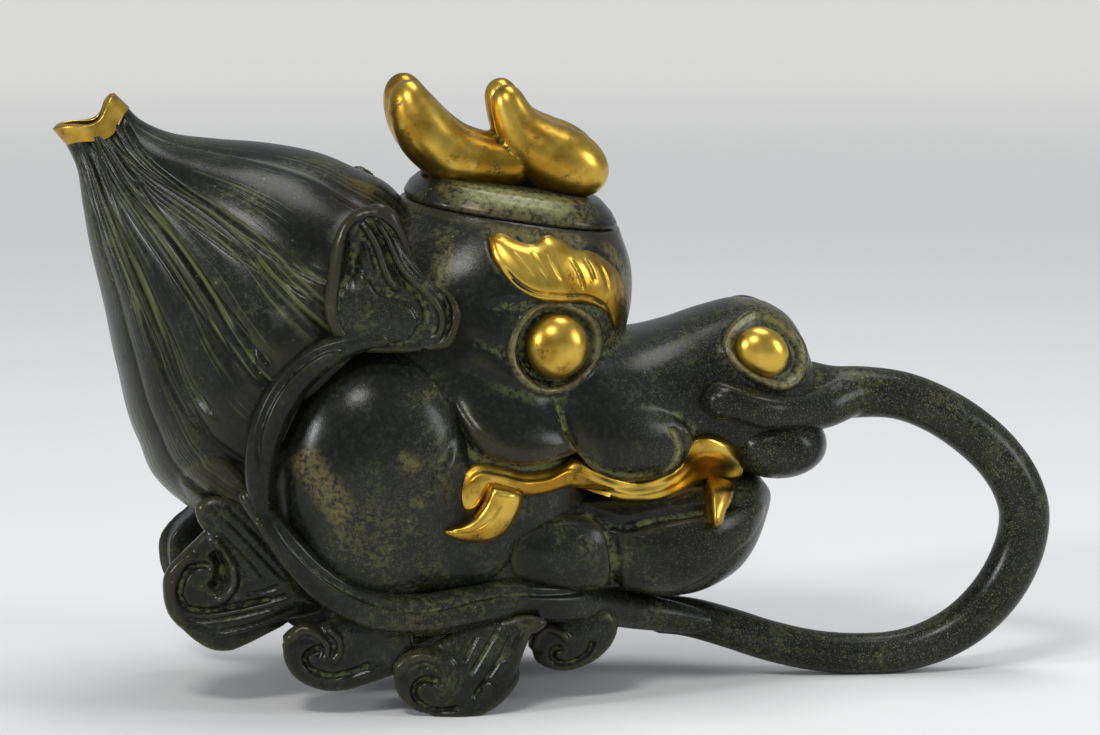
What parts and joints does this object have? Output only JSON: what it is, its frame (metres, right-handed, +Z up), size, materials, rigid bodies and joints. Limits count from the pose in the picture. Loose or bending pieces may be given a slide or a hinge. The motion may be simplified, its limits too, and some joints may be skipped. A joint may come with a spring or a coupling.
{
  "type": "teapot",
  "caption": "Small cast bronze teapot shaped as a horned beast head, with a fluted mane spout, a ring handle, curled feet and a lift-off horned lid.",
  "frame": {"origin": "on the floor under the middle of the bounding box", "axes": "+X towards the ring handle, -X towards the spout, +Z up, mirror plane Y = 0"},
  "size_m": [0.2, 0.075, 0.1231],
  "materials": {
    "bronze": "dark patinated cast bronze, rubbed brown on high places, green in the recesses",
    "gilding": "worn fire gilding over bronze"
  },
  "bodies": {
    "vessel": {"brow_left": "gilding", "brow_right": "gilding", "cheek_left": "bronze", "cheek_right": "bronze", "collar_band_left": "bronze", "collar_band_right": "bronze", "ear_left": "bronze", "ear_right": "bronze", "eye_ring_left": "bronze", "eye_ring_right": "bronze", "eyeball_left": "gilding", "eyeball_right": "gilding", "front_fang_left": "gilding", "front_fang_right": "gilding", "front_lip": "bronze", "handle_loop": "bronze", "head_shell": "bronze", "jowl_crest_left": "bronze", "jowl_crest_right": "bronze", "lip_strip_left": "gilding", "lip_strip_right": "gilding", "lower_jaw": "bronze", "mane_spout": "bronze", "nose_roll_left": "bronze", "nose_roll_right": "bronze", "nostril_ball_left": "gilding", "nostril_ball_right": "gilding", "nostril_ring_left": "bronze", "nostril_ring_right": "bronze", "rear_fang_left": "gilding", "rear_fang_right": "gilding", "scroll_foot_1_left": "bronze", "scroll_foot_1_right": "bronze", "scroll_foot_2_left": "bronze", "scroll_foot_2_right": "bronze", "scroll_foot_3_left": "bronze", "scroll_foot_3_right": "bronze", "scroll_foot_4_left": "bronze", "scroll_foot_4_right": "bronze", "snout": "bronze", "spout_lip": "gilding", "upper_lip_front_left": "bronze", "upper_lip_front_right": "bronze", "upper_lip_rear_left": "bronze", "upper_lip_rear_right": "bronze"},
    "lid": {"horn_left": "gilding", "horn_right": "gilding", "lid_cover": "bronze", "lid_flange": "bronze"}
  },
  "joints": [
    {"name": "lid_lift", "type": "slide", "parent": "vessel", "child": "lid", "axis": [0, 0, 1], "range_m": [0, 0.04]}
  ]
}
